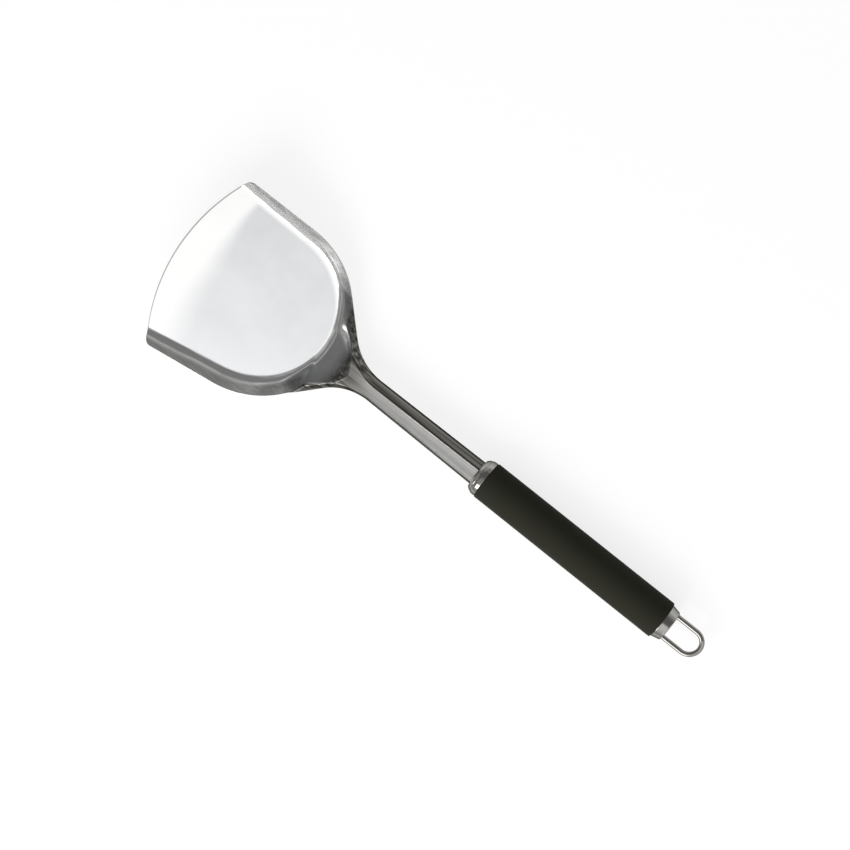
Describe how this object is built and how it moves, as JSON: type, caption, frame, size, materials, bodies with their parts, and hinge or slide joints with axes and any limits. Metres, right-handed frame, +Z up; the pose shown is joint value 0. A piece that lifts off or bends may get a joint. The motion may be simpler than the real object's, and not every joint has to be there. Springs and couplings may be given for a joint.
{
  "type": "grill spatula",
  "caption": "Wok-turner style grill spatula: wide pressed steel blade with raised side rims, channel neck, soft round grip and wire hanging loop.",
  "frame": {"origin": "on the table under the middle of the whole tool", "axes": "+X along the handle towards the hanging loop, +Y to the side, +Z up from the table, on the side the rims stand up"},
  "size_m": [0.3749, 0.1158, 0.0318],
  "materials": {
    "blade_steel": "polished stainless sheet",
    "turned_steel": "polished stainless",
    "tube_steel": "plain drawn steel",
    "wire_steel": "bright drawn stainless wire",
    "grip_rubber": "matt soft-touch rubber",
    "insert_nylon": "matt moulded nylon"
  },
  "bodies": {
    "root": {"blade": "blade_steel", "front_ferrule": "turned_steel", "core_tube": "tube_steel", "tang_insert": "insert_nylon", "tang_pin": "tube_steel", "grip_sleeve": "grip_rubber", "end_cap": "turned_steel", "end_plug": "insert_nylon", "hanging_loop": "wire_steel"}
  },
  "joints": []
}
